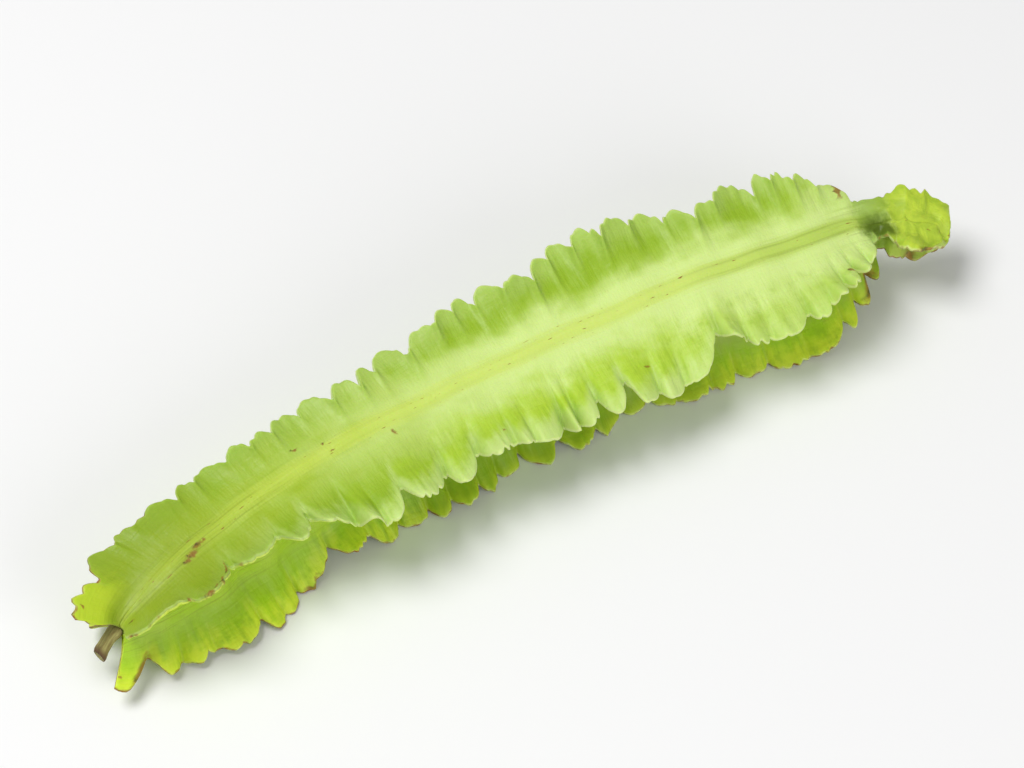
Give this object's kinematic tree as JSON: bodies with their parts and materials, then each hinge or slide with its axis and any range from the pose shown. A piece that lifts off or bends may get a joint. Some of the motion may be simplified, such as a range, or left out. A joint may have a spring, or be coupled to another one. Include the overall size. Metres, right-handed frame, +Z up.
{
  "type": "winged bean",
  "caption": "Green winged bean pod lying on its side wings: a long square body with a ruffled, lobed wing at each corner, a hooked beak at the tip and a dry stalk stub at the other end.",
  "frame": {"origin": "middle of the bounding box seen from above, on the surface that the bean lies on", "axes": "+X along the bean towards its beak, +Z up; the side that bulges outwards along the bend faces +Y"},
  "size_m": [0.1682, 0.0348, 0.0234],
  "materials": {
    "pod_green": "waxy satin",
    "dry_stalk": "dry matt"
  },
  "bodies": {
    "root": {"pod": "pod_green", "stalk_stub": "dry_stalk"}
  },
  "joints": []
}
